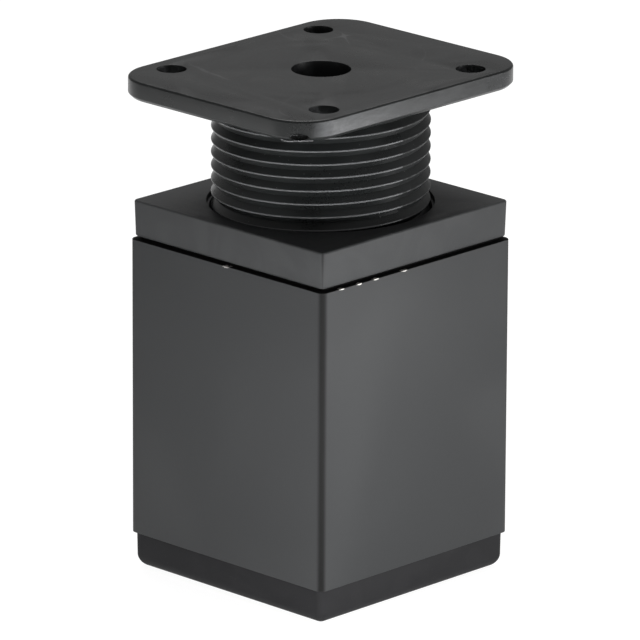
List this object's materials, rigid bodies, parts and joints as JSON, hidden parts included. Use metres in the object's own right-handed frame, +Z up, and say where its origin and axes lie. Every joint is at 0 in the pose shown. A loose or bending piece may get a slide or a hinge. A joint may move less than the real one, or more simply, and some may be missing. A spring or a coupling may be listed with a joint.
{
  "type": "adjustable square furniture leg",
  "caption": "Short black square tube furniture leg with a plastic foot cap, a threaded collar and a screw-in mounting plate that adjusts its height.",
  "frame": {"origin": "centre of the foot's underside, on the floor", "axes": "+Z up along the leg and the screw axis, X and Y square to the tube's faces, Y along the plate's long side"},
  "size_m": [0.05, 0.0608, 0.0963],
  "materials": {
    "foot_plastic": "black moulded plastic, matt",
    "tube_paint": "matt black paint on steel",
    "collar_plastic": "black moulded plastic, satin",
    "plate_plastic": "black moulded plastic, satin with faint flow marks"
  },
  "bodies": {
    "leg": {"foot_cap": "foot_plastic", "square_tube": "tube_paint", "threaded_collar": "collar_plastic"},
    "plate": {"mounting_plate": "plate_plastic"}
  },
  "joints": [
    {"name": "height_screw", "type": "slide", "parent": "leg", "child": "plate", "axis": [0, 0, 1], "range_m": [-0.021, 0.0025]}
  ]
}
